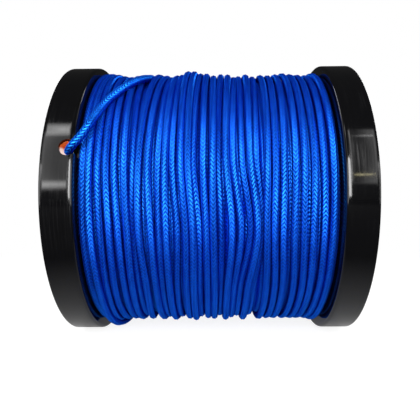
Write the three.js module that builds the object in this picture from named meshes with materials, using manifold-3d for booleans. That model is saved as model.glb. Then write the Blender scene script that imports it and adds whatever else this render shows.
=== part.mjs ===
// A bulk spool of braided fishing line, lying on its rims.
// Millimetres, +Z up, +X along the spool's axis, origin in the middle of the spool.
import * as THREE from 'three';
import { mergeVertices } from 'three/addons/utils/BufferGeometryUtils.js';
import Module from 'manifold-3d';

const wasm = await Module();
wasm.setup();

// Flanges: one moulding, used at both ends.
const flangeDiameter = 100;
const traverse = 80; // between the flanges' inner faces
const rimWidth = 10;
const rimWall = 2.2;
const rimChamfer = 0.7;
const webThickness = 1.8;
const ribCount = 6;
const ribThickness = 1.6;
const ribRecess = 3; // how far the ribs stop short of the rim's outer edge
const driveHoleCount = 3;
const driveHoleDiameter = 7;
const driveHoleCircle = 42; // diameter of the circle that the drive holes lie on
const driveHoleAngle = 30; // degrees, from the first rib

// Line notch: a round hole through the rim that breaks out at its inner edge.
const notchDiameter = 5.2;
const notchInset = 2; // from the flange's inner face to the notch's axis
const notchDepth = 5.5; // inwards from the rim's face
const notchAngle = 18; // degrees, above the spool's axis

// Drum: the spindle tube plugs into the hubs, and the barrel slips over the spigots.
const spindleBore = 16;
const spindleTubeWall = 2;
const hubWall = 2.5;
const hubSocketDepth = 5;
const barrelDiameter = 63;
const barrelWall = 2;
const spigotWall = 1.6;
const spigotDepth = 6;
const fitGap = 0.3; // clearance between pieces that seat on each other

// Line.
const lineDiameter = 2.5;
const windingDiameter = 93.8; // over the outer layer
const loopsBeforeTail = 17; // of the outer layer, from the right flange to the tail's berth
const loopsBeyondTail = 4; // from the tail's berth to the left flange
const berthClearance = 0.5; // between the tail's start and the loops on each side of it
const leanLoops = 0.75; // over which one loop leans across to make the berth
const climbLoops = 0.45; // beside the left flange the line climbs on top of the layer
const settleLoops = 0.15; // then it crosses back, behind, and settles into the berth
const layerClearance = 0.56; // between the climbed line and the layer that it lies on
const riseBend = 3; // bend radius where the line rises out of the layers below
const anchorInset = 12; // from the left flange's inner face to the line's inner end
const knotDiameter = 6;
const knotLength = 5;
const knotShoulder = 0.9; // how far the knot's ends are rounded in, each way

// The line's outer end: out of its berth, over the winding, into the notch and up along the web.
const tailRoute = [
  [-21.2, -2.8, 45.7],
  [-21.2, -8.7, 45.0],
  [-21.2, -14.4, 44.0],
  [-21.5, -19.8, 42.6],
  [-23.2, -25.4, 40.9],
  [-26.2, -30.2, 38.2],
  [-29.2, -33.7, 35.0],
  [-31.9, -36.9, 31.6],
  [-33.6, -39.8, 28.4],
  [-34.8, -43.5, 25.0],
  [-35.7, -47.1, 21.8],
  [-37.2, -48.5, 19.0],
  [-39.1, -48.6, 16.9],
  [-40.9, -47.7, 15.3],
  [-42.4, -45.7, 14.0],
  [-43.3, -43.4, 13.6],
  [-43.8, -41.2, 14.1],
  [-43.9, -39.1, 15.4],
  [-43.8, -37.1, 18.1],
  [-43.7, -35.6, 22.3],
  [-43.8, -34.3, 26.9],
];
const tapeLength = 9.5; // of the tape bound round the line's outer end
const tapeThickness = 0.3;
const tapeClearance = 0.6; // between the bare line's end and the taped end, on a bend

// Fineness of the round shapes.
const turnedSides = 64;
const holeSides = 24;
const loopSteps = 24;
const loopSides = 6;
const tailStep = 2.4;
const tailSides = 8;
const riseSteps = 3;
const overlap = 0.5; // how far joined solids run into each other, and cutters run past a face

// Sizes that follow from the ones above.
const degree = Math.PI / 180;
const innerFace = traverse / 2;
const boreRadius = spindleBore / 2;
const spindleTubeRadius = boreRadius + spindleTubeWall;
const hubSocketRadius = spindleTubeRadius + fitGap;
const hubRadius = hubSocketRadius + hubWall;
const barrelRadius = barrelDiameter / 2;
const barrelInnerRadius = barrelRadius - barrelWall;
const spigotRadius = barrelInnerRadius - fitGap;
const spigotInnerRadius = spigotRadius - spigotWall;
const flatToCorner = 1 / Math.cos(Math.PI / turnedSides);
const rimRadius = (flangeDiameter / 2) * flatToCorner; // so that the spool rests on true flats
const rimInnerRadius = flangeDiameter / 2 - rimWall;
const ribTop = rimWidth - ribRecess;
const drumHalfLength = innerFace - fitGap;
const lineRadius = lineDiameter / 2;
const layerRadius = windingDiameter / 2 - lineRadius; // of the outer layer's centre line
const climbHeight = lineDiameter + layerClearance;
const layerEnd = drumHalfLength - lineRadius; // where the line touches a flange
const chordSag = layerRadius * (1 - Math.cos(Math.PI / loopSteps));
const coreRadius = layerRadius - lineRadius - chordSag - fitGap;
const berthX = tailRoute[0][0];
const berthHalf = lineDiameter + berthClearance;
const pitchBefore = (layerEnd - berthX - berthHalf) / loopsBeforeTail;
const pitchBeyond = (layerEnd + berthX - berthHalf) / loopsBeyondTail;
const layerLoops = loopsBeforeTail + 1 + loopsBeyondTail;
const allLoops = layerLoops + 1; // the last one climbs, crosses back and settles
const anchorX = anchorInset - innerFace;
const wellRadius = lineRadius + fitGap; // of a hole that the line goes through

const plasticBlack = () => new THREE.MeshStandardMaterial({ color: 0x0c0c0e, roughness: 0.28, metalness: 0 });
const lineBlue = () => new THREE.MeshStandardMaterial({ color: 0x1757dc, roughness: 0.6, metalness: 0 });
const tapeOrange = () => new THREE.MeshStandardMaterial({ color: 0xa8501c, roughness: 0.7, metalness: 0 });

function toSolid(geometry) {
  const bare = geometry.clone();
  bare.deleteAttribute('normal');
  bare.deleteAttribute('uv');
  const merged = mergeVertices(bare);
  const vertProperties = new Float32Array(merged.attributes.position.array);
  const triVerts = new Uint32Array(merged.index.array);
  return new wasm.Manifold(new wasm.Mesh({ numProp: 3, vertProperties, triVerts }));
}

function toGeometry(solid) {
  const mesh = solid.getMesh();
  const geometry = new THREE.BufferGeometry();
  geometry.setAttribute('position', new THREE.BufferAttribute(mesh.vertProperties, 3));
  geometry.setIndex(new THREE.BufferAttribute(mesh.triVerts, 1));
  geometry.computeVertexNormals();
  return geometry;
}

function named(name, geometry, material) {
  const mesh = new THREE.Mesh(geometry, material);
  mesh.name = name;
  return mesh;
}

// Turns a closed outline of [radius, place along the axis] about the X axis, with a flat
// facing straight up and another straight down.
function turned(outline) {
  const points = [...outline, outline[0]].map(([radius, along]) => new THREE.Vector2(radius, along));
  const geometry = new THREE.LatheGeometry(points, turnedSides, Math.PI / turnedSides);
  return geometry.rotateZ(-Math.PI / 2);
}

function ring(innerRadius, outerRadius, halfLength) {
  return turned([
    [innerRadius, -halfLength],
    [outerRadius, -halfLength],
    [outerRadius, halfLength],
    [innerRadius, halfLength],
  ]);
}

// A round cutter whose axis stands out from the spool's axis at an angle above +Y.
function radialHole(radius, fromRadius, toRadius, along, angle) {
  const cutter = new THREE.CylinderGeometry(radius, radius, toRadius - fromRadius, holeSides);
  cutter.translate(0, (fromRadius + toRadius) / 2, 0);
  cutter.rotateX(angle * degree);
  cutter.translate(along, 0, 0);
  return toSolid(cutter);
}

// The flange's inner face lies on x = 0 and its hub and rim stand out to +X.
function flangeGeometry() {
  let solid = toSolid(turned([
    [boreRadius, rimWidth],
    [boreRadius, 0],
    [hubSocketRadius, 0],
    [hubSocketRadius, -hubSocketDepth],
    [hubRadius, -hubSocketDepth],
    [hubRadius, 0],
    [spigotInnerRadius, 0],
    [spigotInnerRadius, -spigotDepth],
    [spigotRadius, -spigotDepth],
    [spigotRadius, 0],
    [rimRadius - rimChamfer, 0],
    [rimRadius, rimChamfer],
    [rimRadius, rimWidth - rimChamfer],
    [rimRadius - rimChamfer, rimWidth],
    [rimInnerRadius, rimWidth],
    [rimInnerRadius, webThickness],
    [hubRadius, webThickness],
    [hubRadius, rimWidth],
  ]));
  const ribLength = rimInnerRadius - hubRadius + 2 * overlap;
  const ribHeight = ribTop - webThickness + overlap;
  for (let i = 0; i < ribCount; i += 1) {
    const rib = new THREE.BoxGeometry(ribHeight, ribLength, ribThickness);
    rib.translate(ribTop - ribHeight / 2, hubRadius - overlap + ribLength / 2, 0);
    rib.rotateX((i * 360 * degree) / ribCount);
    solid = solid.add(toSolid(rib));
  }
  for (let i = 0; i < driveHoleCount; i += 1) {
    const depth = webThickness + 2 * overlap;
    const hole = new THREE.CylinderGeometry(driveHoleDiameter / 2, driveHoleDiameter / 2, depth, holeSides);
    hole.rotateZ(-Math.PI / 2);
    hole.translate(webThickness / 2, driveHoleCircle / 2, 0);
    hole.rotateX((driveHoleAngle + (i * 360) / driveHoleCount) * degree);
    solid = solid.subtract(toSolid(hole));
  }
  const notchFloor = flangeDiameter / 2 - notchDepth;
  const notch = radialHole(notchDiameter / 2, notchFloor, rimRadius + overlap, notchInset, notchAngle);
  return toGeometry(solid.subtract(notch));
}

function barrelGeometry() {
  const anchorHole = radialHole(wellRadius, barrelInnerRadius - overlap, barrelRadius + overlap, anchorX, 90);
  return toGeometry(toSolid(ring(barrelInnerRadius, barrelRadius, drumHalfLength)).subtract(anchorHole));
}

// The inner layers, with a well beside the right flange where the line rises out of them.
function coreGeometry() {
  const wellFloor = layerRadius - riseBend - lineDiameter - fitGap;
  const wellBack = riseBend + wellRadius;
  const wellTop = coreRadius + overlap;
  const wellWidth = wellRadius + drumHalfLength - layerEnd + overlap;
  const well = new THREE.BoxGeometry(wellWidth, wellBack, wellTop - wellFloor);
  well.translate(layerEnd - wellRadius + wellWidth / 2, wellBack / 2, (wellTop + wellFloor) / 2);
  return toGeometry(toSolid(ring(barrelRadius + fitGap, coreRadius, drumHalfLength)).subtract(toSolid(well)));
}

// How far along the axis the outer layer lies, in loops from its start at the right flange.
function layerPlace(loop) {
  if (loop <= loopsBeforeTail) {
    return layerEnd - pitchBefore * loop;
  }
  if (loop <= loopsBeforeTail + 1) {
    const across = loop - loopsBeforeTail;
    const lean = (2 * berthHalf - pitchBeyond) * THREE.MathUtils.smoothstep(across, 0, leanLoops);
    return berthX + berthHalf - pitchBeyond * across - lean;
  }
  const beyond = pitchBeyond * (loop - loopsBeforeTail - 1);
  return Math.max(berthX - berthHalf - beyond, -layerEnd);
}

// The centre line of the winding, turning over the top towards -Y.
function windingPoint(loop) {
  const crossStart = layerLoops + climbLoops;
  const settleStart = allLoops - settleLoops;
  const climbed = THREE.MathUtils.smoothstep(loop, layerLoops, crossStart);
  const crossed = THREE.MathUtils.smoothstep(loop, crossStart, settleStart);
  const settled = THREE.MathUtils.smoothstep(loop, settleStart, allLoops);
  const berthPlace = berthX + pitchBeyond * (allLoops - loop);
  const x = THREE.MathUtils.lerp(layerPlace(loop), berthPlace, crossed);
  const radius = layerRadius + climbHeight * (climbed - settled);
  const angle = 2 * Math.PI * loop;
  return new THREE.Vector3(x, -radius * Math.sin(angle), radius * Math.cos(angle));
}

// It starts straight up out of the core's well, bends into the first loop, and runs
// straight for one diameter at its end, where the tail goes on.
function windingCentres() {
  const centres = [new THREE.Vector3(layerEnd, riseBend, layerRadius - riseBend - lineDiameter)];
  for (let i = 0; i < riseSteps; i += 1) {
    const angle = (i * 90 * degree) / riseSteps;
    const back = riseBend * Math.cos(angle);
    const height = layerRadius - riseBend + riseBend * Math.sin(angle);
    centres.push(new THREE.Vector3(layerEnd, back, height));
  }
  for (let i = 0; i <= allLoops * loopSteps; i += 1) {
    centres.push(windingPoint(i / loopSteps));
  }
  const last = centres[centres.length - 1];
  centres.push(new THREE.Vector3(last.x, last.y - lineDiameter, last.z));
  return centres;
}

// A closed tube with a ring of corners round each centre. No part of it runs along X.
function tubeGeometry(centres, radius, sides) {
  const positions = [];
  const indices = [];
  const alongX = new THREE.Vector3(1, 0, 0);
  centres.forEach((centre, i) => {
    const before = centres[Math.max(i - 1, 0)];
    const after = centres[Math.min(i + 1, centres.length - 1)];
    const tangent = after.clone().sub(before).normalize();
    const side = alongX.clone().addScaledVector(tangent, -alongX.dot(tangent)).normalize();
    const up = new THREE.Vector3().crossVectors(side, tangent);
    for (let k = 0; k < sides; k += 1) {
      const angle = (2 * Math.PI * k) / sides;
      const corner = centre.clone();
      corner.addScaledVector(up, radius * Math.cos(angle));
      corner.addScaledVector(side, radius * Math.sin(angle));
      positions.push(corner.x, corner.y, corner.z);
    }
  });
  for (let i = 0; i < centres.length - 1; i += 1) {
    for (let k = 0; k < sides; k += 1) {
      const a = i * sides + k;
      const b = i * sides + ((k + 1) % sides);
      indices.push(a, b, a + sides, b, b + sides, a + sides);
    }
  }
  const lastRing = (centres.length - 1) * sides;
  for (let k = 1; k < sides - 1; k += 1) {
    indices.push(0, k + 1, k);
    indices.push(lastRing, lastRing + k, lastRing + k + 1);
  }
  const geometry = new THREE.BufferGeometry();
  geometry.setAttribute('position', new THREE.Float32BufferAttribute(positions, 3));
  geometry.setIndex(indices);
  geometry.computeVertexNormals();
  return geometry;
}

// The least gap between two stretches of the tube that are more than half a loop apart.
function leastSelfGap(centres, diameter) {
  let least = Infinity;
  for (let i = 0; i < centres.length; i += 1) {
    for (let j = i + loopSteps / 2; j < centres.length; j += 1) {
      least = Math.min(least, centres[i].distanceTo(centres[j]) - diameter);
    }
  }
  return least;
}

// The tail's curve from one length along it to another.
function stretchOf(curve, from, to) {
  const total = curve.getLength();
  const steps = Math.ceil((to - from) / tailStep);
  const points = [];
  for (let i = 0; i <= steps; i += 1) {
    points.push(curve.getPointAt((from + ((to - from) * i) / steps) / total));
  }
  return { path: new THREE.CatmullRomCurve3(points), steps };
}

function roundTube(stretch, radius) {
  const section = new THREE.Shape();
  for (let k = 0; k < tailSides; k += 1) {
    const angle = (2 * Math.PI * k) / tailSides;
    const x = radius * Math.cos(angle);
    const y = radius * Math.sin(angle);
    if (k === 0) {
      section.moveTo(x, y);
    } else {
      section.lineTo(x, y);
    }
  }
  return new THREE.ExtrudeGeometry(section, { steps: stretch.steps, extrudePath: stretch.path });
}

// The line's inner end: down through the barrel, with a stopper knot inside it.
function anchorGeometry() {
  const knotTop = barrelInnerRadius - fitGap;
  const knotRadius = knotDiameter / 2;
  const outline = [
    new THREE.Vector2(0, knotTop - knotLength),
    new THREE.Vector2(knotRadius - knotShoulder, knotTop - knotLength),
    new THREE.Vector2(knotRadius, knotTop - knotLength + knotShoulder),
    new THREE.Vector2(knotRadius, knotTop - knotShoulder),
    new THREE.Vector2(knotRadius - knotShoulder, knotTop),
    new THREE.Vector2(lineRadius, knotTop),
    new THREE.Vector2(lineRadius, barrelRadius),
    new THREE.Vector2(0, barrelRadius),
  ];
  return new THREE.LatheGeometry(outline, holeSides / 2).rotateX(Math.PI / 2);
}

const flange = flangeGeometry();
const rightFlange = named('right_flange', flange, plasticBlack());
rightFlange.position.x = innerFace;
const leftFlange = named('left_flange', flange, plasticBlack());
leftFlange.position.x = -innerFace;
leftFlange.rotation.z = Math.PI;

const spindleTubeForm = ring(boreRadius, spindleTubeRadius, drumHalfLength);
const spindleTube = named('spindle_tube', spindleTubeForm, plasticBlack());
const barrel = named('barrel', barrelGeometry(), plasticBlack());
const core = named('line_core', coreGeometry(), lineBlue());

const layerCentres = windingCentres();
const layer = named('line_outer_layer', tubeGeometry(layerCentres, lineRadius, loopSides), lineBlue());
console.log(`least gap of the winding to itself: ${leastSelfGap(layerCentres, lineDiameter).toFixed(2)} mm`);

const anchor = named('line_inner_end', anchorGeometry(), lineBlue());
anchor.position.x = anchorX;

const tailCurve = new THREE.CatmullRomCurve3(tailRoute.map((point) => new THREE.Vector3(...point)));
const tailLength = tailCurve.getLength();
const tapeStart = tailLength - tapeLength;
const bareTail = stretchOf(tailCurve, 0, tapeStart - tapeClearance);
const tail = named('line_tail', roundTube(bareTail, lineRadius), lineBlue());
const tapeRadius = lineRadius + tapeThickness;
const tapedEnd = stretchOf(tailCurve, tapeStart, tailLength);
const tape = named('tail_tape', roundTube(tapedEnd, tapeRadius), tapeOrange());

const spool = new THREE.Group();
spool.add(leftFlange, rightFlange, barrel, spindleTube, core, layer, anchor, tail, tape);

export default spool;
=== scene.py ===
# A bulk spool of blue braided fishing line, lying on its rims. In the dictionaries sizes are in
# millimetres and angles in degrees; finished meshes are in metres.
import math
import random

import bmesh
import bpy
from mathutils import Matrix, Vector


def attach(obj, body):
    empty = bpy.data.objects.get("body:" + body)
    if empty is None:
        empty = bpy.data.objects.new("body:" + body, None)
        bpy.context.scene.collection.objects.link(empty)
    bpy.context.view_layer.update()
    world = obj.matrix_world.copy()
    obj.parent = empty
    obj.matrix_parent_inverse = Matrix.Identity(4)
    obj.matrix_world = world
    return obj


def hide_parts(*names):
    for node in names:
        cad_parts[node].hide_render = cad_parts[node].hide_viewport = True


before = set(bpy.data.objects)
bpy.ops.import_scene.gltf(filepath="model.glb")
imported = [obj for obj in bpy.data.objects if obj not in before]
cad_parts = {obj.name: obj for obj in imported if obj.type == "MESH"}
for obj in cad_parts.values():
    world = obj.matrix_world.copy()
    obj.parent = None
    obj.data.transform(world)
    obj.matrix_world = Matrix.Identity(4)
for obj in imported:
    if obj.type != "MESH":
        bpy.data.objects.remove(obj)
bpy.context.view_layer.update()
scene = bpy.context.scene
scene.view_settings.view_transform = "Standard"
mm = 0.001
weld = 1e-7  # corners closer than this, in metres, become one


def rotation(degrees, axis, size=3):
    return Matrix.Rotation(math.radians(degrees), size, axis)


cameraLook = {
    "place": (2.29, -181.5, 0.0), "nearest": 10,
    "pitch": 1.51, "yaw": -0.85, "roll": -0.373,
    "lens": 38.777, "sensor": 36.0,
}


def setCamera(look):
    data = bpy.data.cameras.new("photoCamera")
    data.lens = look["lens"]
    data.sensor_width = look["sensor"]
    data.clip_start = look["nearest"] * mm
    camera = bpy.data.objects.new("photoCamera", data)
    bpy.context.collection.objects.link(camera)
    turn = rotation(look["roll"], "Y") @ rotation(look["pitch"], "X") @ rotation(look["yaw"], "Z")
    facing = turn.transposed() @ rotation(90, "X")
    camera.matrix_world = Matrix.Translation(Vector(look["place"]) * mm) @ facing.to_4x4()
    scene.camera = camera


setCamera(cameraLook)
print("camera set")


class Wire:
    def __init__(self, recipe, socket):
        self.recipe = recipe
        self.socket = socket

    def maths(self, operation, *others):
        return self.recipe.add("ShaderNodeMath", {"operation": operation}, (self,) + others)

    def __add__(self, other):
        return self.maths("ADD", other)

    def __sub__(self, other):
        return self.maths("SUBTRACT", other)

    def __rsub__(self, other):
        return self.recipe.add("ShaderNodeMath", {"operation": "SUBTRACT"}, (other, self))

    def __mul__(self, other):
        return self.maths("MULTIPLY", other)

    def __truediv__(self, other):
        return self.maths("DIVIDE", other)

    def __pow__(self, other):
        return self.maths("POWER", other)

    __radd__ = __add__
    __rmul__ = __mul__

    def between(self, low, high):  # 0 below low, 1 above high, smooth in between
        settings = {"interpolation_type": "SMOOTHSTEP", "clamp": True}
        inputs = {"Value": self, "From Min": low, "From Max": high}
        return self.recipe.add("ShaderNodeMapRange", settings, inputs)


class Recipe:
    def __init__(self, owner):  # a new material's name, or the world
        self.material = bpy.data.materials.new(owner) if isinstance(owner, str) else owner
        self.material.use_nodes = True
        self.tree = self.material.node_tree
        self.tree.nodes.clear()

    def add(self, kind, settings=None, inputs=None, output=0):
        node = self.tree.nodes.new(kind)
        for key, value in (settings or {}).items():
            setattr(node, key, value)
        pairs = inputs.items() if isinstance(inputs, dict) else enumerate(inputs or ())
        for key, value in pairs:
            if isinstance(value, Wire):
                self.tree.links.new(value.socket, node.inputs[key])
            else:
                node.inputs[key].default_value = value
        return Wire(self, node.outputs[output]) if node.outputs else None

    def separate(self, vector, axes):
        return [self.add("ShaderNodeSeparateXYZ", None, (vector,), axis) for axis in axes]

    def objectPlace(self):  # x, y and z on the object, in millimetres
        place = self.add("ShaderNodeTexCoord", output="Object")
        return self.separate(self.scale(place, 1 / mm), "XYZ")

    def combine(self, x, y, z):
        return self.add("ShaderNodeCombineXYZ", None, (x, y, z))

    def vector(self, operation, *values):
        return self.add("ShaderNodeVectorMath", {"operation": operation}, values)

    def scale(self, vector, factor):
        return self.add("ShaderNodeVectorMath", {"operation": "SCALE"}, {0: vector, "Scale": factor})

    def noise(self, vector, scale, detail=2.0, roughness=0.5):
        inputs = {"Vector": vector, "Scale": scale, "Detail": detail, "Roughness": roughness}
        return self.add("ShaderNodeTexNoise", None, inputs)

    def mixColour(self, factor, first, second):
        inputs = {0: factor, 6: first, 7: second}  # the colour sockets share their names with others
        return self.add("ShaderNodeMix", {"data_type": "RGBA"}, inputs, 2)

    def bump(self, height, distance, strength):
        inputs = {"Height": height, "Distance": distance * mm, "Strength": strength}
        return self.add("ShaderNodeBump", None, inputs)

    def finish(self, **sockets):
        inputs = {key.replace("_", " "): value for key, value in sockets.items()}
        surface = self.add("ShaderNodeBsdfPrincipled", None, inputs)
        self.add("ShaderNodeOutputMaterial", None, {"Surface": surface})
        return self.material


def grey(level):
    return (level, level, level, 1)


plasticLook = {
    "colour": (0.0024, 0.0024, 0.0028, 1), "worn": (0.012, 0.012, 0.013, 1), "wear": 0.6,
    "roughness": 0.085, "scuffed": 0.3, "refraction": 1.5,
    "streakScale": 2.6, "streakTurnScale": 2.2, "streakRange": (0.45, 0.75), "streakShare": 0.7,
    "patchScale": 0.06, "patchRange": (0.42, 0.66),
    "speckScale": 1.9, "speckRange": (0.66, 0.78), "speckShare": 0.35,
    "streakHeight": 0.7, "patchHeight": 1.2, "relief": 0.02, "reliefStrength": 0.25,
}


def spoolPlastic(name, look):
    # scuffs that run round the spool where it is worn, fine specks, and a face that isn't quite flat
    recipe = Recipe(name)
    x, y, z = recipe.objectPlace()
    fine = look["streakScale"]
    radius = (y * y + z * z) ** 0.5
    turn = z.maths("ARCTAN2", y) * look["streakTurnScale"]
    streaks = recipe.noise(recipe.combine(x * fine, radius * fine, turn), 1.0, detail=3.0, roughness=0.6)
    patches = recipe.noise(recipe.combine(x, y, z), look["patchScale"], detail=3.0, roughness=0.55)
    specks = recipe.noise(recipe.combine(x, y, z), look["speckScale"])
    scuff = streaks.between(*look["streakRange"]) * patches.between(*look["patchRange"])
    scuff = scuff * look["streakShare"] + specks.between(*look["speckRange"]) * look["speckShare"]
    colour = recipe.mixColour(scuff * look["wear"], look["colour"], look["worn"])
    roughness = scuff * (look["scuffed"] - look["roughness"]) + look["roughness"]
    height = streaks * look["streakHeight"] + patches * look["patchHeight"]
    normal = recipe.bump(height, look["relief"], look["reliefStrength"])
    return recipe.finish(Base_Color=colour, Roughness=roughness, Normal=normal, IOR=look["refraction"])


braidLook = {
    "pick": 1.27, "columns": 8, "twist": 360.0,  # twist: length of one whole turn
    "bulge": 0.26, "level": 0.8,  # level: the part of the relief that lies inside the line's radius
    "yarnRounding": 0.6, "columnRounding": 0.5, "columnFloor": 0.45,
}
lineLook = {
    # the furrow colour is painted shade: a darker blue where shade falls between yarns and between turns
    "lit": (0.0022, 0.024, 0.80, 1), "furrowPaintedShade": (0.0006, 0.007, 0.44, 1),
    # the tail's lighter blue is painted light, as if more light fell on the tail than on the winding
    "tailPaintedLight": (0.005, 0.11, 0.92, 1), "glint": (0.03, 0.50, 1.0, 1),
    "roughness": 0.43, "refraction": 3.2, "metallic": 0.85, "crestLoss": 0.5,
    "tilt": 0.6, "tiltAlong": 0.6, "tiltAround": 0.8, "tiltColumn": 0.3,
    "crestRange": (0.05, 0.75), "yarnRange": (0.15, 0.9), "columnRange": (0.0, 0.8),
    "paintedLightAndToneRange": (0.1, 0.85), "driftScale": 0.09, "driftRange": (0.3, 0.7),
    "fibresAlong": 5.0, "fibresAround": 3.0,
    "weaveShade": 0.95, "chance": 0.4, "drift": 0.12, "fibres": 0.25,
}


def braidedLine(name, picks, lit=lineLook["lit"], diameter=None):
    # yarns that lean one way in one column and the other way in the next, with furrows between;
    # a diameter is given for plain turns round the spool's axis, which have no UV map
    recipe = Recipe(name)
    look = lineLook
    columns = braidLook["columns"]
    x, y, z = recipe.objectPlace()
    radius = (y * y + z * z) ** 0.5
    if diameter is None:
        u, v = recipe.separate(recipe.add("ShaderNodeTexCoord", output="UV"), "XY")
        along = u * picks
        around = v * columns
        forward = recipe.add("ShaderNodeTangent", {"direction_type": "UV_MAP"})
    else:
        along = z.maths("ARCTAN2", y) * (picks / (2 * math.pi))
        around = x * (columns / (math.pi * diameter))
        forward = recipe.combine(0.0, z / radius * -1, y / radius)
    row = along + around.maths("PINGPONG", 1.0)
    across = row.maths("FRACT")
    column = around.maths("FRACT")
    side = 1 - around.maths("FLOOR").maths("FLOORED_MODULO", 2.0) * 2

    # the normal leans as the yarn's round back does
    normal = recipe.add("ShaderNodeNewGeometry", output="Normal")
    sideways = recipe.vector("CROSS_PRODUCT", normal, forward)
    slope = (across * math.pi).maths("COSINE") * look["tilt"]
    columnSlope = (column * math.pi).maths("COSINE") * look["tiltColumn"]
    turnAlong = recipe.scale(forward, slope * -look["tiltAlong"])
    turnAround = recipe.scale(sideways, slope * side * -look["tiltAround"] - columnSlope)
    tilted = recipe.vector("ADD", recipe.vector("ADD", normal, turnAlong), turnAround)
    tilted = recipe.vector("NORMALIZE", tilted)

    # painted light and shade: how open each spot is to the light, on a turn's crest and on a yarn's back,
    # picks the lighter blue or the darker painted shade of the furrows and a turn's flanks; chance adds tone
    # that differs at random
    outward = recipe.combine(0.0, y / radius, z / radius)
    crest = recipe.add("ShaderNodeVectorMath", {"operation": "DOT_PRODUCT"}, (normal, outward), "Value")
    yarn = (across * math.pi).maths("SINE").between(*look["yarnRange"])
    middle = (column * math.pi).maths("SINE").between(*look["columnRange"])
    weaveShade = yarn * (middle * 0.5 + 0.5)
    cell = recipe.combine(row.maths("FLOOR"), around.maths("FLOOR"), 0.0)
    chance = recipe.add("ShaderNodeTexWhiteNoise", {"noise_dimensions": "2D"}, {"Vector": cell})
    drift = recipe.noise(recipe.combine(x, y, z), look["driftScale"]).between(*look["driftRange"])
    strands = recipe.combine(along * look["fibresAlong"], around * look["fibresAround"], x)
    fibres = recipe.noise(strands, 1.0, detail=1.0)
    level = crest.between(*look["crestRange"]) + weaveShade * look["weaveShade"] - look["weaveShade"]
    level = level + (chance - 0.5) * look["chance"] + (drift - 0.5) * look["drift"]
    level = level + (fibres - 0.5) * look["fibres"]
    paintedLightAndTone = level.between(*look["paintedLightAndToneRange"])
    colour = recipe.mixColour(paintedLightAndTone, look["furrowPaintedShade"], lit)
    # the furrows, more metallic, lose the filaments' pale glint and keep the darker blue of their painted
    # shade
    metallic = look["metallic"] - paintedLightAndTone * look["crestLoss"]
    return recipe.finish(Base_Color=colour, Metallic=metallic, Roughness=look["roughness"],
                         Normal=tilted, IOR=look["refraction"], Specular_IOR_Level=1.0,
                         Specular_Tint=look["glint"])


tapeLook = {
    "brown": (0.26, 0.026, 0.002, 1), "lighter": (0.50, 0.085, 0.008, 1), "pale": (0.58, 0.42, 0.37, 1),
    "creaseScale": 0.9, "creaseStretch": 2.5, "creaseRange": (0.35, 0.7), "grainScale": 7.0, "grain": 0.2,
    "paleRange": (14.2, 15.6), "paleFrom": -44, "paleSlope": 0.45, "ragged": 1.6,
    "roughness": 0.5, "specular": 0.12, "relief": 0.25, "reliefStrength": 0.7,
}


def endTape(name, look):
    # orange-brown paper tape that turns pale low down, below a ragged line
    recipe = Recipe(name)
    x, y, z = recipe.objectPlace()
    stretched = recipe.combine(x, y * look["creaseStretch"], z)
    creases = recipe.noise(stretched, look["creaseScale"], detail=4.0, roughness=0.65)
    grain = recipe.noise(recipe.combine(x, y, z), look["grainScale"], roughness=0.6) * look["grain"]
    edge = z + (x - look["paleFrom"]) * look["paleSlope"] + creases * look["ragged"] - look["ragged"] / 2
    paleLow = 1 - edge.between(*look["paleRange"])
    brown = recipe.mixColour(creases.between(*look["creaseRange"]), look["brown"], look["lighter"])
    colour = recipe.mixColour(paleLow, brown, look["pale"])
    normal = recipe.bump(creases + grain, look["relief"], look["reliefStrength"])
    return recipe.finish(Base_Color=colour, Roughness=grain + look["roughness"], Normal=normal,
                         Specular_IOR_Level=look["specular"])


plastic = spoolPlastic("spoolPlastic", plasticLook)
print("plastic made")


def givePiece(name, mesh, material, slot, *nodes):
    piece = bpy.data.objects.new(name, mesh)
    bpy.context.collection.objects.link(piece)
    mesh.materials.clear()
    mesh.materials.append(material)
    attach(piece, "root")
    if nodes:
        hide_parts(*nodes)
    return piece


def smoothMesh(mesh, sharpAngle):
    mesh.shade_smooth()
    mesh.set_sharp_from_angle(angle=math.radians(sharpAngle))


def tubeMesh(points, radius, resolution, turning=0.0):
    # turning is how far each corner ring is turned past the one before it
    curve = bpy.data.curves.new("tube", "CURVE")
    curve.dimensions = "3D"
    curve.bevel_depth = radius
    curve.bevel_resolution = resolution
    curve.use_fill_caps = True
    spline = curve.splines.new("POLY")
    spline.points.add(len(points) - 1)
    for i, (point, place) in enumerate(zip(spline.points, points)):
        point.co = (*place, 1)
        point.tilt = turning * i
    holder = bpy.data.objects.new("tube", curve)
    mesh = bpy.data.meshes.new_from_object(holder)
    bpy.data.objects.remove(holder)
    return mesh


def closeTube(mesh):
    work = bmesh.new()
    work.from_mesh(mesh)
    bmesh.ops.remove_doubles(work, verts=work.verts, dist=weld)
    bmesh.ops.recalc_face_normals(work, faces=work.faces)
    work.to_mesh(mesh)
    work.free()
    return mesh


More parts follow.
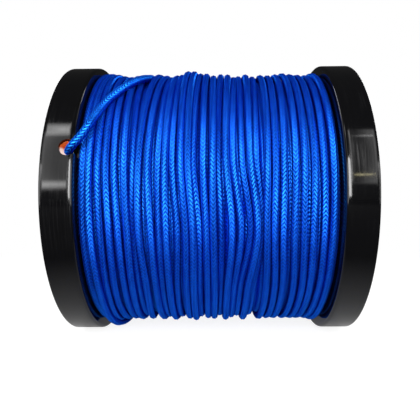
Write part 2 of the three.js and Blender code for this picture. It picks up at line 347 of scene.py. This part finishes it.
def throughPoints(points, step, uneven=0.0, dice=None):
    # a smooth line through given points in even or slightly uneven steps, and its length
    line = []
    for i in range(len(points) - 1):
        p1, p2 = points[i], points[i + 1]
        p0 = points[i - 1] if i > 0 else p1 * 2 - p2
        p3 = points[i + 2] if i + 2 < len(points) else p2 * 2 - p1
        d0, d1, d2 = ((p1 - p0).length ** 0.5, (p2 - p1).length ** 0.5, (p3 - p2).length ** 0.5)
        m1 = ((p1 - p0) / d0 - (p2 - p0) / (d0 + d1) + (p2 - p1) / d1) * d1
        m2 = ((p2 - p1) / d1 - (p3 - p1) / (d1 + d2) + (p3 - p2) / d2) * d1
        cuts = max(2, math.ceil((p2 - p1).length / step * 3))
        for j in range(cuts):
            t = j / cuts
            line.append(p1 + m1 * t + (p2 * 3 - p1 * 3 - m1 * 2 - m2) * t * t
                        + (p1 * 2 - p2 * 2 + m1 + m2) * t * t * t)
    line.append(points[-1].copy())
    along = [0.0]
    for a, b in zip(line, line[1:]):
        along.append(along[-1] + (b - a).length)
    wanted = [0.0]
    for i in range(max(2, round(along[-1] / step))):
        wanted.append(wanted[-1] + 1 + (dice.uniform(-uneven, uneven) if dice else 0.0))
    places = []
    j = 0
    for want in wanted:
        want *= along[-1] / wanted[-1]
        while j < len(along) - 2 and along[j + 1] < want:
            j += 1
        places.append(line[j].lerp(line[j + 1], (want - along[j]) / (along[j + 1] - along[j])))
    return places, along[-1]


def plaitRelief(picks, columns, look):
    # how far the yarn stands out, from 0 in a furrow to 1 on a crest
    turned = abs((columns + 1) % 2 - 1)
    ridge = math.sin(math.pi * ((picks + turned) % 1.0)) ** look["yarnRounding"]
    hump = abs(math.sin(math.pi * columns)) ** look["columnRounding"]
    return ridge * (look["columnFloor"] + (1 - look["columnFloor"]) * hump)


def braidedMesh(points, diameter, picks, cornersPerColumn, look):
    # a tube whose corners turn with the braid, and each corner then moved along its own normal
    corners = look["columns"] * cornersPerColumn
    length = sum((b - a).length for a, b in zip(points, points[1:]))
    turning = 2 * math.pi * length / mm / look["twist"] / (len(points) - 1)
    resolution = (corners - 4) // 2  # a round curve has 4 corners, and 2 more for each step of this
    mesh = tubeMesh(points, diameter / 2 * mm, resolution, turning)
    work = bmesh.new()
    work.from_mesh(mesh)
    uv = work.loops.layers.uv.active
    bmesh.ops.remove_doubles(work, verts=work.verts, dist=weld)
    bmesh.ops.recalc_face_normals(work, faces=work.faces)
    work.normal_update()
    moves = []
    for vert in work.verts:
        loops = vert.link_loops
        if len(loops) < 4 or any(len(loop.face.verts) != 4 for loop in loops):
            continue  # the end caps stay flat
        along, around = loops[0][uv].uv
        relief = plaitRelief(along * picks, around * look["columns"], look)
        moves.append((vert, vert.normal * (look["bulge"] * mm * (relief - look["level"]))))
    for vert, move in moves:
        vert.co += move
    work.to_mesh(mesh)
    work.free()
    smoothMesh(mesh, sharpAngle=75)
    return mesh


flagLook = {
    "middle": -42.0, "angle": 18.0, "rim": 50.0, "radius": 2.48, "depth": 1.5, "lean": 0.7,
    "thickness": 0.25, "halfWidth": 0.55, "aside": -0.45, "cuts": 20,  # width and aside in radii
    "crumple": 0.15, "crumplesUp": 5, "crumplesAcross": 3,
}


def flagMesh(look):
    # the tape's torn end, a crumpled flap that fills the notch beside the line
    work = bmesh.new()
    bmesh.ops.create_grid(work, x_segments=look["cuts"], y_segments=look["cuts"], size=1.0)
    uv = work.loops.layers.uv.new("flag")
    angle = math.radians(look["angle"])
    outward = Vector((0, -math.cos(angle), math.sin(angle)))
    upward = Vector((0, math.sin(angle), math.cos(angle)))
    for vert in work.verts:
        # the square grid becomes the left half of a round flap
        aside = vert.co.x * look["halfWidth"] + look["aside"]
        across = aside * math.sqrt(1 - vert.co.y ** 2 / 2)
        up = vert.co.y * math.sqrt(1 - aside ** 2 / 2)
        crumple = math.sin(look["crumplesUp"] * up + look["crumplesAcross"] * across)
        depth = look["depth"] + look["lean"] * across + look["crumple"] * crumple
        place = Vector((look["middle"] + look["radius"] * across, 0, 0)) + upward * look["radius"] * up
        vert.co = (place + outward * (look["rim"] - depth)) * mm
    for face in work.faces:
        for loop in face.loops:
            loop[uv].uv = (loop.vert.co.x / mm, loop.vert.co.z / mm)
    bmesh.ops.solidify(work, geom=work.faces[:], thickness=look["thickness"] * mm)
    bmesh.ops.recalc_face_normals(work, faces=work.faces)
    mesh = bpy.data.meshes.new("tapeFlag")
    work.to_mesh(mesh)
    work.free()
    smoothMesh(mesh, sharpAngle=40)
    return mesh


tailLook = {
    "diameter": 2.5, "step": 0.16, "cornersPerColumn": 6,
    "tapeLength": 9.5, "tapeThickness": 0.3, "tapePast": 0.6, "tapeResolution": 10,  # past: in steps
    "route": (
        (-21.2, -2.8, 45.7), (-21.2, -8.7, 45.0), (-21.2, -14.4, 44.0), (-21.5, -19.8, 42.6),
        (-23.2, -25.4, 40.9), (-26.2, -30.2, 38.2), (-29.2, -33.7, 35.0), (-31.9, -36.9, 31.6),
        (-33.6, -39.8, 28.4), (-34.8, -43.5, 25.0), (-35.7, -47.1, 21.8), (-37.2, -48.5, 19.0),
        (-39.1, -48.6, 16.9), (-40.9, -47.7, 15.3), (-42.4, -45.7, 14.0), (-43.3, -43.4, 13.6),
        (-43.8, -41.2, 14.1), (-43.9, -39.1, 15.4), (-43.8, -37.1, 18.1), (-43.7, -35.6, 22.3),
        (-43.8, -34.3, 26.9),
    ),
}


def makeTail(look):
    points = [Vector(point) * mm for point in look["route"]]
    even, length = throughPoints(points, look["step"] * mm)
    picks = length / mm / braidLook["pick"]
    mesh = braidedMesh(even, look["diameter"], picks, look["cornersPerColumn"], braidLook)
    # the tail's colour is painted light, a lighter blue than the winding's
    material = braidedLine("tailLine", picks, lineLook["tailPaintedLight"])
    tail = givePiece("lineTail", mesh, material, "braided_line", "line_tail")

    tapeSteps = round(look["tapeLength"] / look["step"])
    wrapped = even[-tapeSteps:]
    last = wrapped[-1] + (wrapped[-1] - wrapped[-2]) * look["tapePast"]
    tapeRadius = (look["diameter"] / 2 + look["tapeThickness"]) * mm
    tapeMesh = closeTube(tubeMesh(wrapped[:-1] + [last], tapeRadius, look["tapeResolution"]))
    smoothMesh(tapeMesh, sharpAngle=40)
    tape = givePiece("endTape", tapeMesh, endTape("endTape", tapeLook), "end_tape", "tail_tape")
    flag = givePiece("tapeFlag", flagMesh(flagLook), endTape("tapeFlag", tapeLook), "end_tape")
    print(f"tail laid, {length / mm:.1f} mm long")


makeTail(tailLook)


windingLook = {
    "diameter": 2.5, "radius": 45.65, "climb": 2.45, "lift": 0.6, "end": 38.4, "berth": -21.2,
    "climbing": 0.1, "climbed": 0.4, "settling": 0.85,  # parts of the last turn
    "steps": 120, "uneven": 0.1, "ringDice": 3, "cornersPerColumn": 2,
    "pieces": ("outerLayerRight", "outerLayerMiddle", "outerLayerLeft"),
    "frontParts": (0.205, 0.284, 0.362),  # of a turn from the top, where the places below lie
    "backParts": ((0.5, 0.2), (0.75, 0.62)),  # part of a turn, and share of the way to the next one
    "early": 0.35,  # more of that way, on the turn that passes the line's end
    "rideParts": (0.16, 0.38), "backRidePart": 0.7, "backRide": 0.5, "stray": 0.15, "strayDice": 7,
    "rise": ((4.2, -5.0), (3.4, -2.6), (1.8, -1.5)),  # aside, and up from the layer's radius
    # each turn's place along the axis at the top, then 16 degrees above, 12 and 40 below the middle of
    # the front, and how far it rides above the layer at the front and at the top; from the right
    # flange leftwards
    "turns": (
        (38.4, 38.4, 38.4, 38.4, -1.3, -0.5), (37.6, 37.5, 37.4, 37.4, 0.6, 0.6),
        (35.2, 34.8, 34.9, 35.2, 0.0, 0.0), (32.3, 31.9, 31.7, 32.1, 0.0, 0.2),
        (29.6, 28.9, 28.8, 29.6, 0.0, 0.5), (26.9, 26.3, 25.8, 26.8, 0.0, 0.9),
        (24.4, 22.9, 22.5, 23.4, 0.0, 0.5), (21.5, 20.2, 19.9, 20.8, 0.0, 0.1),
        (18.8, 17.7, 17.5, 18.0, 0.3, 0.2), (16.0, 14.5, 16.2, 14.1, -1.4, 0.0),
        (13.3, 12.5, 14.7, 12.1, 0.6, 0.4), (10.7, 10.1, 12.6, 9.8, -1.0, 0.1),
        (9.1, 7.3, 9.6, 7.7, -0.3, -0.4), (6.9, 5.2, 6.9, 5.6, 0.6, 0.5),
        (4.3, 2.8, 3.7, 3.4, -1.1, 1.0), (1.5, 1.1, 1.3, 1.5, 0.3, 0.2),
        (-1.0, -1.8, -1.0, -0.8, 0.0, 1.1), (-3.2, -4.8, -3.2, -3.4, -0.7, 1.3),
        (-5.5, -6.4, -4.9, -5.2, 0.8, 1.9), (-7.8, -8.7, -7.1, -7.6, 0.2, 2.1),
        (-9.9, -11.3, -9.9, -10.7, -0.7, 0.9), (-11.8, -13.3, -13.1, -13.0, 0.6, 0.3),
        (-13.7, -15.6, -15.5, -15.5, -0.7, -0.1), (-15.6, -18.5, -17.8, -17.4, 0.4, 0.3),
        (-18.4, -21.3, -21.4, -20.4, 0.2, 0.9), (-24.1, -23.4, -23.5, -23.3, -1.2, 0.1),
        (-26.6, -25.8, -25.0, -25.1, 0.3, 0.3), (-29.1, -28.8, -27.8, -27.7, 0.0, 0.0),
        (-31.5, -31.3, -30.5, -30.8, 0.2, 0.3), (-34.0, -33.8, -33.1, -33.5, 0.6, 0.9),
        (-38.4, -38.4, -38.4, -38.4, 0.0, 1.2), (-36.4, -36.1, -35.8, -35.3, 0.9, 1.2),
    ),
}


def smoothStep(value, low, high):
    t = min(max((value - low) / (high - low), 0.0), 1.0)
    return t * t * (3 - 2 * t)


def softly(knots, at):
    # a smooth curve through (place, value) pairs
    i = 0
    while i < len(knots) - 2 and knots[i + 1][0] < at:
        i += 1
    before = knots[max(i - 1, 0)]
    start = knots[i]
    stop = knots[i + 1]
    after = knots[min(i + 2, len(knots) - 1)]
    span = stop[0] - start[0]
    t = min(max((at - start[0]) / span, 0.0), 1.0)
    slopeIn = (stop[1] - before[1]) / (stop[0] - before[0]) * span
    slopeOut = (after[1] - start[1]) / (after[0] - start[0]) * span
    return (start[1] * (2 * t ** 3 - 3 * t * t + 1) + slopeIn * (t ** 3 - 2 * t * t + t)
            + stop[1] * (3 * t * t - 2 * t ** 3) + slopeOut * (t ** 3 - t * t))


def windingLine(look):
    turns = look["turns"]
    dice = random.Random(look["strayDice"])
    places = []
    rides = []
    for i, (top, upper, middle, lower, ride, topRide) in enumerate(turns):
        after = turns[i + 1][0] if i + 1 < len(turns) else lower
        places.append((i, top))
        places += [(i + part, x) for part, x in zip(look["frontParts"], (upper, middle, lower))]
        early = look["early"] if top > look["berth"] > after else 0.0
        for part, share in look["backParts"]:
            places.append((i + part, lower + (after - lower) * (share + early)))
        rides.append((i, topRide))
        rides += [(i + part, ride) for part in look["rideParts"]]
        stray = dice.uniform(-look["stray"], look["stray"])
        rides.append((i + look["backRidePart"], ride * look["backRide"] + stray))
    count = len(turns)
    climbing = count - 1 + look["climbing"]
    crossing = count - 1 + look["climbed"]
    settling = count - 1 + look["settling"]
    pitch = 2 * look["end"] / (count - 1)
    points = []
    for step in range(count * look["steps"] + 1):
        at = step / look["steps"]
        x = softly(places, at)
        ride = softly(rides, at)
        climbed = smoothStep(at, climbing, crossing)
        crossed = smoothStep(at, crossing, settling)
        settled = smoothStep(at, settling, count)
        x += (look["berth"] + pitch * (count - at) - x) * crossed
        ride = ride * (1 - climbed) + look["climb"] * climbed + look["lift"] * crossed
        ride *= 1 - settled
        x = min(max(x, -look["end"]), look["end"])
        angle = 2 * math.pi * at
        radius = look["radius"] + ride
        points.append(Vector((x, -radius * math.sin(angle), radius * math.cos(angle))) * mm)
    # out of the layers below, beside the right flange, and at the end on to the line's tail
    rise = [Vector((look["end"], aside, look["radius"] + down)) * mm for aside, down in look["rise"]]
    points = rise + points
    points.append(points[-1] + Vector((0, -look["diameter"] * mm, 0)))
    return points


def makeWinding(look):
    # rings half a pick apart, two corners to a column, so that the corners are crests and furrows
    dice = random.Random(look["ringDice"])
    rings, length = throughPoints(windingLine(look), braidLook["pick"] / 2 * mm, look["uneven"], dice)
    share = round(len(rings) / len(look["pieces"]) / 2) * 2
    material = braidedLine("woundLine", share / 2)
    for i, name in enumerate(look["pieces"]):
        part = rings[i * share:(i + 1) * share + 1]
        picks = (len(part) - 1) / 2
        mesh = braidedMesh(part, look["diameter"], picks, look["cornersPerColumn"], braidLook)
        if len(part) <= share:  # the last one is shorter, so it has fewer picks
            material = braidedLine("woundLineLeft", picks)
        givePiece(name, mesh, material, "braided_line", "line_outer_layer")
        print(f"{name} made, {len(mesh.polygons)} faces")
    print(f"winding made, {length:.2f} m in {len(look['turns'])} turns")


makeWinding(windingLook)


innerLook = {
    "bottom": 31.8, "crest": 44.55, "depth": 1.1, "turns": 30, "end": 39.7, "cuts": 6, "steps": 160,
    "diameter": 2.5, "picks": 213,  # in one turn
}


def spinAboutAxis(work, steps):
    geometry = work.verts[:] + work.edges[:]
    bmesh.ops.spin(work, geom=geometry, axis=(1, 0, 0), cent=(0, 0, 0), steps=steps,
                   angle=2 * math.pi, use_merge=True)
    bmesh.ops.remove_doubles(work, verts=work.verts, dist=weld / mm)
    bmesh.ops.recalc_face_normals(work, faces=work.faces)


def wireLoop(work, outline):
    # a closed outline of (along the axis, radius) pairs, in the plane above the axis
    verts = [work.verts.new((along, 0, radius)) for along, radius in outline]
    for a, b in zip(verts, verts[1:] + verts[:1]):
        work.edges.new((a, b))


def meshFrom(work, name):
    bmesh.ops.scale(work, vec=(mm, mm, mm), verts=work.verts)
    mesh = bpy.data.meshes.new(name)
    work.to_mesh(mesh)
    work.free()
    return mesh


def makeInnerLayers(look):
    work = bmesh.new()
    outline = [(-look["end"], look["bottom"])]
    pitch = 2 * look["end"] / look["turns"]
    for i in range(look["turns"]):
        for j in range(look["cuts"]):
            t = j / look["cuts"]
            arch = math.sqrt(max(0.0, 1 - (2 * t - 1) ** 2))
            outline.append((-look["end"] + pitch * (i + t), look["crest"] - look["depth"] * (1 - arch)))
    outline += [(look["end"], look["crest"] - look["depth"]), (look["end"], look["bottom"])]
    wireLoop(work, outline)
    spinAboutAxis(work, look["steps"])
    mesh = meshFrom(work, "innerLayers")
    smoothMesh(mesh, sharpAngle=50)
    material = braidedLine("innerLine", look["picks"], diameter=look["diameter"])
    givePiece("innerLayers", mesh, material, "braided_line", "line_core")
    print("inner layers made")


makeInnerLayers(innerLook)


anchorLook = {
    "along": -28.0, "top": 31.2, "drop": 1.6, "wraps": 2.5, "wrapRadius": 1.65, "wrapTop": 28.0,
    "wrapBottom": 25.8, "wrapCuts": 36, "diameter": 2.44, "step": 0.3, "cornersPerColumn": 4,
}


def makeInnerEnd(look):
    # through the barrel's hole and into a knot under it
    place = look["along"]
    points = [Vector((place, 0, look["top"])), Vector((place, 0, look["top"] - look["drop"]))]
    for i in range(look["wrapCuts"] + 1):
        t = i / look["wrapCuts"]
        angle = 2 * math.pi * look["wraps"] * t
        height = look["wrapTop"] + (look["wrapBottom"] - look["wrapTop"]) * t
        points.append(Vector((place + look["wrapRadius"] * math.cos(angle),
                              look["wrapRadius"] * math.sin(angle), height)))
    points = [point * mm for point in points]
    even, length = throughPoints(points, look["step"] * mm)
    picks = length / mm / braidLook["pick"]
    mesh = braidedMesh(even, look["diameter"], picks, look["cornersPerColumn"], braidLook)
    givePiece("innerEndKnot", mesh, braidedLine("knotLine", picks), "braided_line", "line_inner_end")
    print("inner end knotted")


makeInnerEnd(anchorLook)


flangeLook = {
    "radius": 50.0, "innerFace": 40.0, "rimWidth": 10.0, "rimWall": 2.2, "web": 1.8,
    "rimFillet": 0.95, "mouthFillet": 0.45, "rootFillet": 0.9, "boreFillet": 0.4, "filletCuts": 5,
    "bore": 8.0, "socket": 10.3, "socketDepth": 5.0, "hub": 12.8,
    "spigotInner": 27.6, "spigot": 29.2, "spigotDepth": 6.0,
    "ribs": 6, "ribThickness": 1.6, "ribRecess": 3.0, "ribBevel": 0.35, "overlap": 0.5,
    "driveHoles": 3, "driveHoleRadius": 3.5, "driveHoleCircle": 21.0, "driveHoleAngle": 30.0,
    "notchRadius": 2.6, "notchInset": 2.0, "notchDepth": 5.5, "notchAngle": 18.0,
    "steps": 240, "rimCuts": 8, "holeSteps": 64, "drillDepth": 4, "weld": 1e-5,
}


def roundedOutline(corners, cuts):
    # corners are (along the axis, radius, fillet)
    outline = []
    for i, (along, radius, fillet) in enumerate(corners):
        if fillet <= 0:
            outline.append((along, radius))
            continue
        here = Vector((along, radius))
        back = Vector(corners[i - 1][:2]) - here
        ahead = Vector(corners[(i + 1) % len(corners)][:2]) - here
        back.normalize()
        ahead.normalize()
        middle = here + (back + ahead) * fillet
        for j in range(cuts + 1):
            turn = math.radians(90) * j / cuts
            point = middle - ahead * fillet * math.cos(turn) - back * fillet * math.sin(turn)
            outline.append((point.x, point.y))
    return outline


def addBlock(work, low, high, bevel):
    # a box whose edges towards +X are rounded
    made = bmesh.ops.create_cube(work, size=1.0)["verts"]
    size = [b - a for a, b in zip(low, high)]
    bmesh.ops.scale(work, vec=size, verts=made)
    bmesh.ops.translate(work, vec=[(a + b) / 2 for a, b in zip(low, high)], verts=made)
    top = [edge for edge in work.edges if all(v.co.x > high[0] - 1e-6 for v in edge.verts)]
    bmesh.ops.bevel(work, geom=top, offset=bevel, segments=3, profile=0.5, affect="EDGES", material=-1)


def cutBy(piece, cutter, operation):
    change = piece.modifiers.new("cut", "BOOLEAN")
    change.object = cutter
    change.operation = operation
    change.solver = "EXACT"
    change.use_self = False
    shaped = bpy.data.meshes.new_from_object(piece.evaluated_get(bpy.context.evaluated_depsgraph_get()))
    piece.modifiers.remove(change)
    piece.data = shaped
    bpy.data.objects.remove(cutter)


def looseObject(work, name):
    mesh = bpy.data.meshes.new(name)
    work.to_mesh(mesh)
    work.free()
    made = bpy.data.objects.new(name, mesh)
    bpy.context.collection.objects.link(made)
    return made


def flangeBlank(look):
    web = look["web"]
    rim = look["radius"]
    wall = rim - look["rimWall"]
    wide = look["rimWidth"]
    corners = [
        (wide, look["bore"], look["boreFillet"]), (0.0, look["bore"], 0), (0.0, look["socket"], 0),
        (-look["socketDepth"], look["socket"], 0), (-look["socketDepth"], look["hub"], 0),
        (0.0, look["hub"], 0), (0.0, look["spigotInner"], 0), (-look["spigotDepth"], look["spigotInner"], 0),
        (-look["spigotDepth"], look["spigot"], 0), (0.0, look["spigot"], 0),
        (0.0, rim, look["rimFillet"]), (wide, rim, look["mouthFillet"]),
        (wide, wall, look["mouthFillet"]), (web, wall, look["rootFillet"]),
        (web, look["hub"], look["rootFillet"]), (wide, look["hub"], look["boreFillet"]),
    ]
    outline = roundedOutline(corners, look["filletCuts"])
    # short steps along the rim's face, so that its curve stays true round the notch
    cuts = look["rimCuts"]
    dense = []
    for i, (along, radius) in enumerate(outline):
        dense.append((along, radius))
        nextAlong, nextRadius = outline[(i + 1) % len(outline)]
        if abs(radius - rim) < 1e-6 and abs(nextRadius - rim) < 1e-6:
            dense += [(along + (nextAlong - along) * j / cuts, radius) for j in range(1, cuts)]
    work = bmesh.new()
    wireLoop(work, dense)
    spinAboutAxis(work, look["steps"])
    return looseObject(work, "flange")


def addDrill(work, radius, depth, steps, matrix):
    bmesh.ops.create_cone(work, cap_ends=True, segments=steps, radius1=radius, radius2=radius,
                          depth=depth, matrix=matrix)


def makeFlangeMesh(look):
    blank = flangeBlank(look)
    ribs = bmesh.new()
    overlap = look["overlap"]
    half = look["ribThickness"] / 2
    for i in range(look["ribs"]):
        rib = bmesh.new()
        low = (look["web"] - overlap, look["hub"] - overlap, -half)
        high = (look["rimWidth"] - look["ribRecess"], look["radius"] - look["rimWall"] + overlap, half)
        addBlock(rib, low, high, look["ribBevel"])
        bmesh.ops.rotate(rib, cent=(0, 0, 0), verts=rib.verts, matrix=rotation(360 / look["ribs"] * i, "X"))
        part = bpy.data.meshes.new("rib")
        rib.to_mesh(part)
        rib.free()
        ribs.from_mesh(part)
        bpy.data.meshes.remove(part)
    cutBy(blank, looseObject(ribs, "ribs"), "UNION")
    holes = bmesh.new()
    for i in range(look["driveHoles"]):
        angle = math.radians(look["driveHoleAngle"] + 360 / look["driveHoles"] * i)
        place = Matrix.Translation((look["web"] / 2, look["driveHoleCircle"] * math.cos(angle),
                                    look["driveHoleCircle"] * math.sin(angle)))
        addDrill(holes, look["driveHoleRadius"], look["drillDepth"], look["holeSteps"],
                 place @ rotation(90, "Y", 4))
    middle = look["radius"] - look["notchDepth"] / 2 + overlap
    place = Matrix.Translation((look["notchInset"], middle, 0)) @ rotation(90, "X", 4)
    addDrill(holes, look["notchRadius"], look["notchDepth"] + 2 * overlap, look["holeSteps"],
             rotation(look["notchAngle"], "X", 4) @ place)
    cutBy(blank, looseObject(holes, "holes"), "DIFFERENCE")
    mesh = blank.data
    bpy.data.objects.remove(blank)
    return mesh


def placeFlange(mesh, name, matrix, node):
    work = bmesh.new()
    work.from_mesh(mesh)
    bmesh.ops.transform(work, matrix=matrix, verts=work.verts)
    bmesh.ops.remove_doubles(work, verts=work.verts, dist=flangeLook["weld"])
    placed = meshFrom(work, name)
    smoothMesh(placed, sharpAngle=30)
    givePiece(name, placed, plastic, "spool_plastic", node)


flangeMesh = makeFlangeMesh(flangeLook)
toRight = Matrix.Translation((flangeLook["innerFace"], 0, 0))
toLeft = Matrix.Translation((-flangeLook["innerFace"], 0, 0)) @ rotation(180, "Z", 4)
placeFlange(flangeMesh, "rightFlange", toRight, "right_flange")
placeFlange(flangeMesh, "leftFlange", toLeft, "left_flange")
print("flanges made")

for node in ("barrel", "spindle_tube"):
    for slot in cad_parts[node].material_slots:
        slot.link = "OBJECT"
        slot.material = plastic


studioLook = {
    "room": 0.03, "fill": 0.105,  # how bright the room is in reflections, and to the soft shading
    "floorSize": 1500, "floorHeight": -50, "floorDark": 0.03, "spoolHalf": 40,
    "patch": 0.45, "patchGlow": 0.12, "patchReach": (25, 80),
    "shadowReach": (90, 260), "shadowShare": 0.3, "shadowWhite": 0.9, "backing": 1.22,
    "panels": (  # name, degrees round from the front, degrees up, distance, width, height, brightness
        ("frontSoftbox", 0, 15, 520, 260, 270, 11.2),
        ("frontLeftSoftbox", -47, 10, 520, 300, 260, 2.6),
        ("frontRightSoftbox", 47, 10, 520, 300, 260, 2.6),
        ("backLeftSoftbox", -130, 22, 600, 260, 300, 4.5),
        ("backRightSoftbox", 130, 22, 600, 260, 300, 4.5),
        ("leftSideSoftbox", -100, 35, 600, 300, 300, 0.6),
        ("rightSideSoftbox", 100, 35, 600, 300, 300, 0.6),
    ),
    "stripDistance": 520, "stagger": 10, "white": (1, 1, 1), "warm": (1, 0.9, 0.52),
    # name, place along the spool's axis, degrees up, width, height, soft edge, brightness, tint
    "strips": (
        ("leftSoftbox", -232, 30, 58, 400, 16, 1.5, "white"),
        ("leftInnerSoftbox", -176, 30, 50, 400, 10, 0.75, "white"),
        ("leftStrip", -191, 55, 46, 58, 34, 6.5, "white"),
        ("lowStrip", -201, 11, 58, 28, 22, 5.8, "white"),
        ("rightInnerSoftbox", 154, 31.5, 30, 370, 10, 2.4, "white"),
        ("rightSoftbox", 217, 31.5, 46, 370, 14, 1.5, "white"),
        ("rightUpperLine", 195, 47.4, 29, 6, 4, 5.5, "white"),
        ("rightLowerLine", 186, 16.8, 15, 6, 4, 17, "warm"),
    ),
}


def floorPaint(look):
    # white to the camera, with the object's soft shadow; to anything else a lit patch under the
    # object that fades into a dark room
    recipe = Recipe("whiteFloor")
    x, y = recipe.objectPlace()[:2]
    aside = (x.maths("ABSOLUTE") - look["spoolHalf"]).maths("MAXIMUM", 0.0)
    distance = (aside * aside + y * y) ** 0.5
    patch = 1 - distance.between(*look["patchReach"])
    near = 1 - distance.between(*look["shadowReach"])
    lit = recipe.mixColour(patch, grey(look["floorDark"]), grey(look["patch"]))
    bounce = recipe.mixColour(patch, grey(0), grey(look["patchGlow"]))
    shaded = recipe.add("ShaderNodeBsdfDiffuse", None, {"Color": lit})
    glow = recipe.add("ShaderNodeEmission", None, {"Color": bounce, "Strength": 1.0})
    real = recipe.add("ShaderNodeAddShader", None, (shaded, glow))
    white = recipe.add("ShaderNodeBsdfDiffuse", None, {"Color": grey(look["shadowWhite"])})
    backing = recipe.mixColour(near, grey(1), grey(look["backing"]))
    bright = recipe.add("ShaderNodeEmission", None, {"Color": backing, "Strength": 1.0})
    shown = recipe.add("ShaderNodeMixShader", None, (near * look["shadowShare"], bright, white))
    cameraRay = recipe.add("ShaderNodeLightPath", output="Is Camera Ray")
    surface = recipe.add("ShaderNodeMixShader", None, (cameraRay, real, shown))
    recipe.add("ShaderNodeOutputMaterial", None, {"Surface": surface})
    return recipe.material


def addLamp(name, aim, distance, width, height, brightness, tint=(1, 1, 1)):
    # brightness is what a mirror shows of the lamp, whatever its size
    data = bpy.data.lights.new(name, "AREA")
    data.color = tint
    data.shape = "RECTANGLE"
    data.size = width * mm
    data.size_y = height * mm
    data.energy = 4 * data.size * data.size_y * brightness
    lamp = bpy.data.objects.new(name, data)
    facing = (aim @ rotation(90, "X")).to_4x4()
    lamp.matrix_world = Matrix.Translation(aim @ Vector((0, -distance * mm, 0))) @ facing
    lamp.visible_camera = False
    bpy.context.collection.objects.link(lamp)


def makeFloor(look):
    work = bmesh.new()
    bmesh.ops.create_grid(work, x_segments=2, y_segments=2, size=look["floorSize"] * mm)
    bmesh.ops.translate(work, vec=(0, 0, look["floorHeight"] * mm), verts=work.verts)
    floor = looseObject(work, "floor")
    floor.data.materials.append(floorPaint(look))


def hangLamps(look):
    for name, sideways, up, distance, width, height, brightness in look["panels"]:
        aim = rotation(sideways, "Z") @ rotation(-up, "X")
        addLamp(name, aim, distance, width, height, brightness)
    for name, along, up, width, height, soft, brightness, tint in look["strips"]:
        # square to the spool's axis, so that a rim shows the strip's edge as a straight line
        aside = Matrix.Rotation(math.asin(along / look["stripDistance"]), 3, "Z")
        aim = rotation(-up, "X") @ aside
        for wider in (-soft, 0, soft):
            # three nested lamps make the strip's soft edge; the wider ones lie a little behind,
            # because lamps in one plane hide each other
            distance = look["stripDistance"] + wider / look["stagger"]
            addLamp(name, aim, distance, width + wider, height + wider, brightness / 3, look[tint])


def makeRoom(look):
    # white to the camera, and to the object a room that is nearly dark
    world = bpy.data.worlds.new("room")
    scene.world = world
    room = Recipe(world)
    cameraRay = room.add("ShaderNodeLightPath", output="Is Camera Ray")
    throughRay = room.add("ShaderNodeLightPath", output="Is Transmission Ray")
    seen = cameraRay.maths("MAXIMUM", throughRay)
    diffuseRay = room.add("ShaderNodeLightPath", output="Is Diffuse Ray")
    dark = room.mixColour(diffuseRay, grey(look["room"]), grey(look["fill"]))
    colour = room.mixColour(seen, dark, grey(1))
    glow = room.add("ShaderNodeBackground", None, {"Color": colour, "Strength": 1.0})
    room.add("ShaderNodeOutputWorld", None, {"Surface": glow})


makeFloor(studioLook)
hangLamps(studioLook)
makeRoom(studioLook)
print("studio lit")
